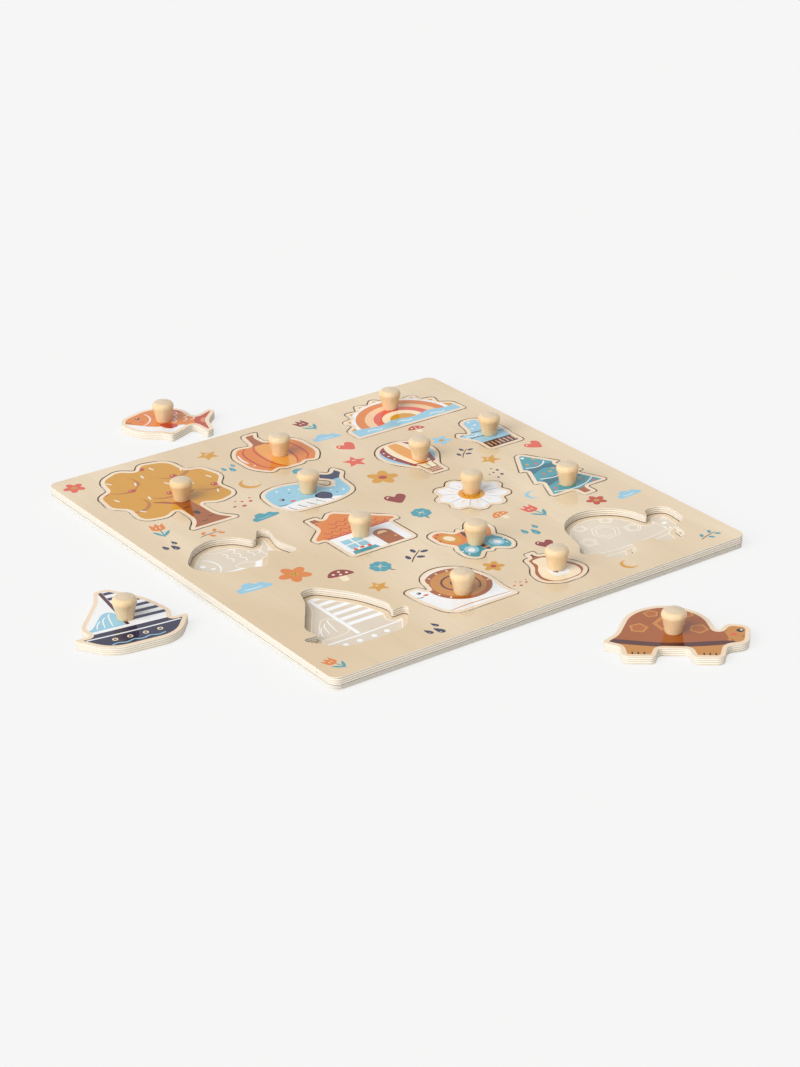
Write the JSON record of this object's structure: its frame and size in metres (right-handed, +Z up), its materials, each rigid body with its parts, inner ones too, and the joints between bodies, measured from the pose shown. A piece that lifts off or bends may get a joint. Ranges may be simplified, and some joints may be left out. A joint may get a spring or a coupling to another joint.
{
  "type": "peg puzzle",
  "caption": "Wooden peg puzzle: a plywood board with contour-cut recesses, and printed picture pieces that lift out by turned wooden knobs.",
  "frame": {"origin": "middle of the backing board's underside, on the table", "axes": "+Z up out of the board, +Y along its longer side, the way the pictures stand upright, +X to their right"},
  "size_m": [0.3869, 0.4999, 0.0225],
  "materials": {
    "birch_plywood": "clear satin lacquer on sanded birch plywood",
    "backing_plywood": "sanded plywood with a light lacquer",
    "turned_wood": "turned beech with a clear satin lacquer",
    "print_mustard": "glossy printed ink on birch plywood, bare rim",
    "print_orange": "glossy printed ink on birch plywood, bare rim",
    "print_sky": "glossy printed ink on birch plywood, bare rim",
    "print_red": "glossy printed ink on birch plywood, bare rim",
    "print_white": "glossy printed ink on birch plywood, bare rim",
    "print_teal": "glossy printed ink on birch plywood, bare rim",
    "print_brown": "glossy printed ink on birch plywood, bare rim",
    "print_tan": "glossy printed ink on birch plywood, bare rim",
    "print_slate": "glossy printed ink on birch plywood, bare rim"
  },
  "bodies": {
    "board": {"frame_board": "birch_plywood", "backing_board": "backing_plywood"},
    "sun": {"sun_piece": "print_mustard", "sun_knob": "turned_wood"},
    "pumpkin": {"pumpkin_piece": "print_orange", "pumpkin_knob": "turned_wood"},
    "tree": {"tree_piece": "print_mustard", "tree_knob": "turned_wood"},
    "whale": {"whale_piece": "print_sky", "whale_knob": "turned_wood"},
    "balloon": {"balloon_piece": "print_red", "balloon_knob": "turned_wood"},
    "mitten": {"mitten_piece": "print_sky", "mitten_knob": "turned_wood"},
    "house": {"house_piece": "print_orange", "house_knob": "turned_wood"},
    "daisy": {"daisy_piece": "print_white", "daisy_knob": "turned_wood"},
    "fir": {"fir_piece": "print_teal", "fir_knob": "turned_wood"},
    "butterfly": {"butterfly_piece": "print_orange", "butterfly_knob": "turned_wood"},
    "snail": {"snail_piece": "print_brown", "snail_knob": "turned_wood"},
    "pear": {"pear_piece": "print_tan", "pear_knob": "turned_wood"},
    "fish": {"fish_piece": "print_orange", "fish_knob": "turned_wood"},
    "boat": {"boat_piece": "print_slate", "boat_knob": "turned_wood"},
    "tortoise": {"tortoise_piece": "print_brown", "tortoise_knob": "turned_wood"}
  },
  "joints": [
    {"name": "sun_lift", "type": "slide", "parent": "board", "child": "sun", "axis": [0, 0, 1], "range_m": [0, 0.04]},
    {"name": "pumpkin_lift", "type": "slide", "parent": "board", "child": "pumpkin", "axis": [0, 0, 1], "range_m": [0, 0.04]},
    {"name": "tree_lift", "type": "slide", "parent": "board", "child": "tree", "axis": [0, 0, 1], "range_m": [0, 0.04]},
    {"name": "whale_lift", "type": "slide", "parent": "board", "child": "whale", "axis": [0, 0, 1], "range_m": [0, 0.04]},
    {"name": "balloon_lift", "type": "slide", "parent": "board", "child": "balloon", "axis": [0, 0, 1], "range_m": [0, 0.04]},
    {"name": "mitten_lift", "type": "slide", "parent": "board", "child": "mitten", "axis": [0, 0, 1], "range_m": [0, 0.04]},
    {"name": "house_lift", "type": "slide", "parent": "board", "child": "house", "axis": [0, 0, 1], "range_m": [0, 0.04]},
    {"name": "daisy_lift", "type": "slide", "parent": "board", "child": "daisy", "axis": [0, 0, 1], "range_m": [0, 0.04]},
    {"name": "fir_lift", "type": "slide", "parent": "board", "child": "fir", "axis": [0, 0, 1], "range_m": [0, 0.04]},
    {"name": "butterfly_lift", "type": "slide", "parent": "board", "child": "butterfly", "axis": [0, 0, 1], "range_m": [0, 0.04]},
    {"name": "snail_lift", "type": "slide", "parent": "board", "child": "snail", "axis": [0, 0, 1], "range_m": [0, 0.04]},
    {"name": "pear_lift", "type": "slide", "parent": "board", "child": "pear", "axis": [0, 0, 1], "range_m": [0, 0.04]},
    {"name": "fish_lift", "type": "slide", "parent": "board", "child": "fish", "axis": [0, 0, 1], "range_m": [0, 0.04]},
    {"name": "boat_lift", "type": "slide", "parent": "board", "child": "boat", "axis": [0, 0, 1], "range_m": [0, 0.04]},
    {"name": "tortoise_lift", "type": "slide", "parent": "board", "child": "tortoise", "axis": [0, 0, 1], "range_m": [0, 0.04]}
  ]
}
